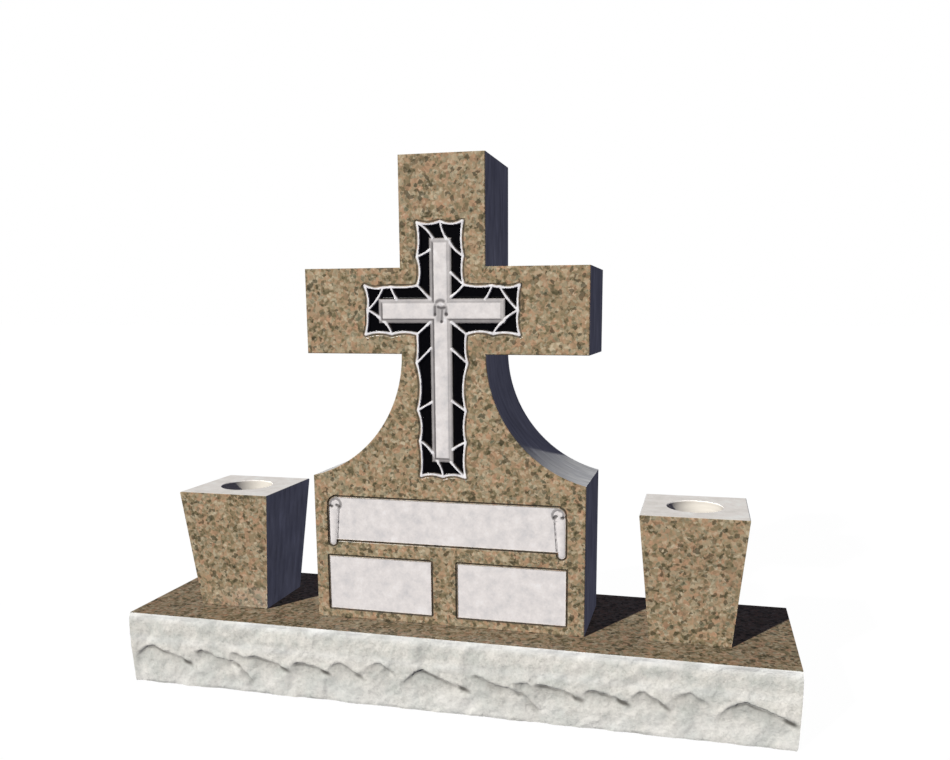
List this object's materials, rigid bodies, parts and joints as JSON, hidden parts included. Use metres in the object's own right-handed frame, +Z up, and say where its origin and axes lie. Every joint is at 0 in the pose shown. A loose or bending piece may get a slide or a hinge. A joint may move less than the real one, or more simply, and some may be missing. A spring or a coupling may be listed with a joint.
{
  "type": "cross headstone",
  "caption": "Upright granite headstone: a cross die on concave shoulders with a carved cross and blank panels, on a rock-pitched base with a tapered flower vase at each end.",
  "frame": {"origin": "middle of the underside of the base, where the monument rests", "axes": "+X along the base to the right seen from the front, +Y from the carved front to the back, +Z up"},
  "size_m": [1.38, 0.3542, 1.083],
  "materials": {
    "pitched_granite": "rock-pitched pale granite sides under a polished tan-brown top",
    "polished_granite": "polished speckled tan-brown granite face, sawn edges, frosted and blackened carving",
    "vase_granite": "polished speckled tan-brown granite sides, steeled pale top and bored hole"
  },
  "bodies": {
    "root": {"base": "pitched_granite", "die": "polished_granite", "vase_left": "vase_granite", "vase_right": "vase_granite"}
  },
  "joints": []
}
